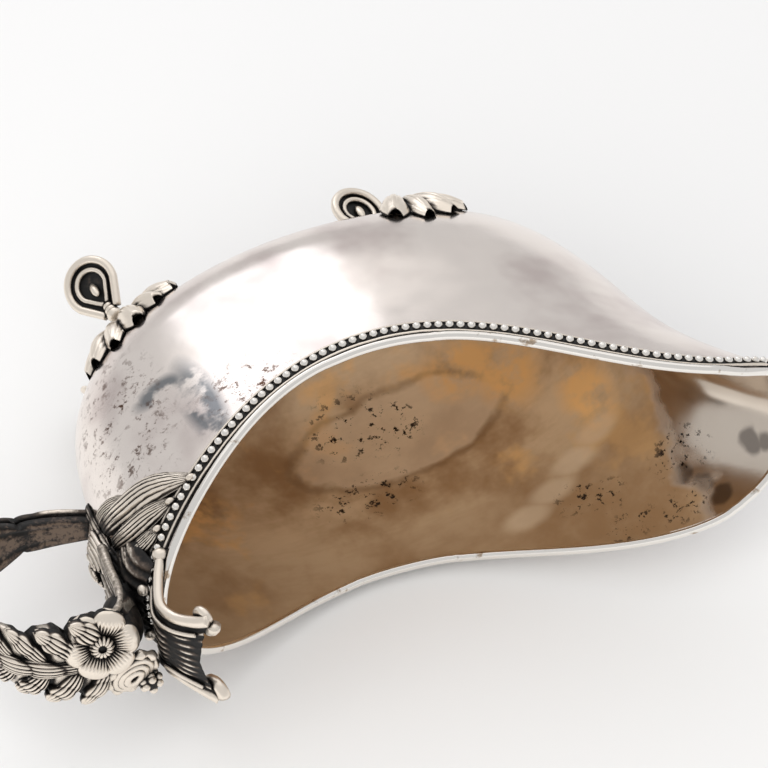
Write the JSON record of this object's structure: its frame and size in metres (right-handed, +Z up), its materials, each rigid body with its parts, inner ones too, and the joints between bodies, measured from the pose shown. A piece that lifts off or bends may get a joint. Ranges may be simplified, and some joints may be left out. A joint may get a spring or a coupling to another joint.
{
  "type": "sauce boat",
  "caption": "Sauce boat with a boat-shaped bowl, wide raised spout, beaded rim, cast loop handle with thumb piece and flower, on cast spoon feet.",
  "frame": {"origin": "on the table, under the middle of the overall length and width", "axes": "+Z up from the feet to the rim, +X from the handle to the spout, +Y to the boat's left side"},
  "size_m": [0.186, 0.0692, 0.1117],
  "materials": {
    "hammered_silver": "polished hand-raised silver, gilt inside",
    "bright_wire": "bright burnished silver wire",
    "beaded_silver": "beaded silver with dark recesses",
    "oxidised_cast_silver": "cast silver, oxidised in the recesses",
    "gilt_interior": "worn satin gilding inside the bowl"
  },
  "bodies": {
    "root": {"body": "hammered_silver", "rim_wire": "bright_wire", "bead_border": "beaded_silver", "handle_root": "oxidised_cast_silver", "leaf_spray_left": "oxidised_cast_silver", "leaf_spray_right": "oxidised_cast_silver", "handle_grip": "oxidised_cast_silver", "handle_lower_arm": "oxidised_cast_silver", "thumb_piece": "oxidised_cast_silver", "flower": "oxidised_cast_silver", "rosette": "oxidised_cast_silver", "bud": "oxidised_cast_silver", "leaf_fan_front_left": "oxidised_cast_silver", "foot_front_left": "oxidised_cast_silver", "leaf_fan_front_right": "oxidised_cast_silver", "foot_front_right": "oxidised_cast_silver", "leaf_fan_rear_left": "oxidised_cast_silver", "foot_rear_left": "oxidised_cast_silver", "leaf_fan_rear_right": "oxidised_cast_silver", "foot_rear_right": "oxidised_cast_silver"}
  },
  "joints": []
}
